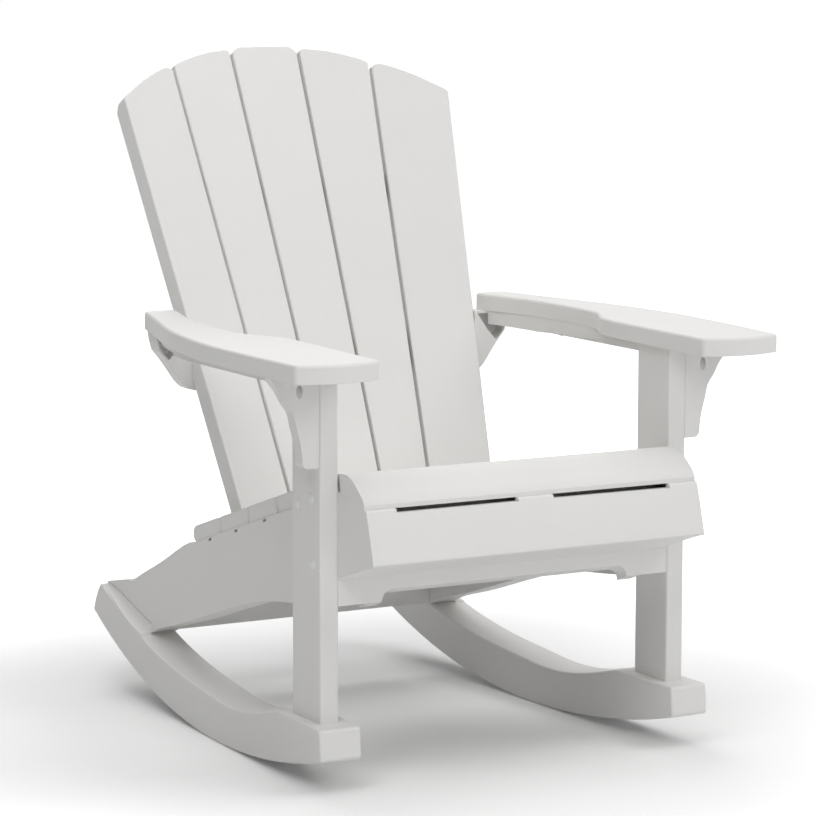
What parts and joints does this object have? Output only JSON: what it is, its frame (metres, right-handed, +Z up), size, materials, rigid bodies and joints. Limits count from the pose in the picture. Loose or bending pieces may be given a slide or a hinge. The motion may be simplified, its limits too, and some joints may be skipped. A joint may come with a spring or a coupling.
{
  "type": "rocking adirondack chair",
  "caption": "White moulded rocking armchair with a low sloped slatted seat, a tall fanned and hollowed slat back, wide arms on gusset brackets and long curved rockers.",
  "frame": {"origin": "on the floor under the middle of the chair's bounding box", "axes": "+Z up, -Y the way the sitter faces, +X the sitter's left"},
  "size_m": [0.802, 0.9448, 1.0077],
  "materials": {
    "resin": "fine satin texture",
    "rubber": "matt",
    "white_screw": "white coated",
    "steel_screw": "plain zinc"
  },
  "bodies": {
    "root": {"rocker_left": "resin", "rocker_right": "resin", "side_rail_left": "resin", "side_rail_right": "resin", "front_leg_left": "resin", "front_leg_right": "resin", "arm_left": "resin", "arm_right": "resin", "arm_rail_left": "resin", "arm_rail_right": "resin", "front_bracket_left": "resin", "front_bracket_right": "resin", "rear_bracket_left": "resin", "rear_bracket_right": "resin", "seat": "resin", "front_apron": "resin", "back_panel": "resin", "back_support_bar": "resin", "front_crossbar": "resin", "rear_stretcher": "resin", "tilt_stops": "rubber", "leg_screws": "white_screw", "front_bracket_screws": "white_screw", "arm_screws": "steel_screw", "back_screws": "steel_screw", "foot_screws": "steel_screw", "tail_screws": "steel_screw", "rail_screws": "steel_screw"}
  },
  "joints": []
}
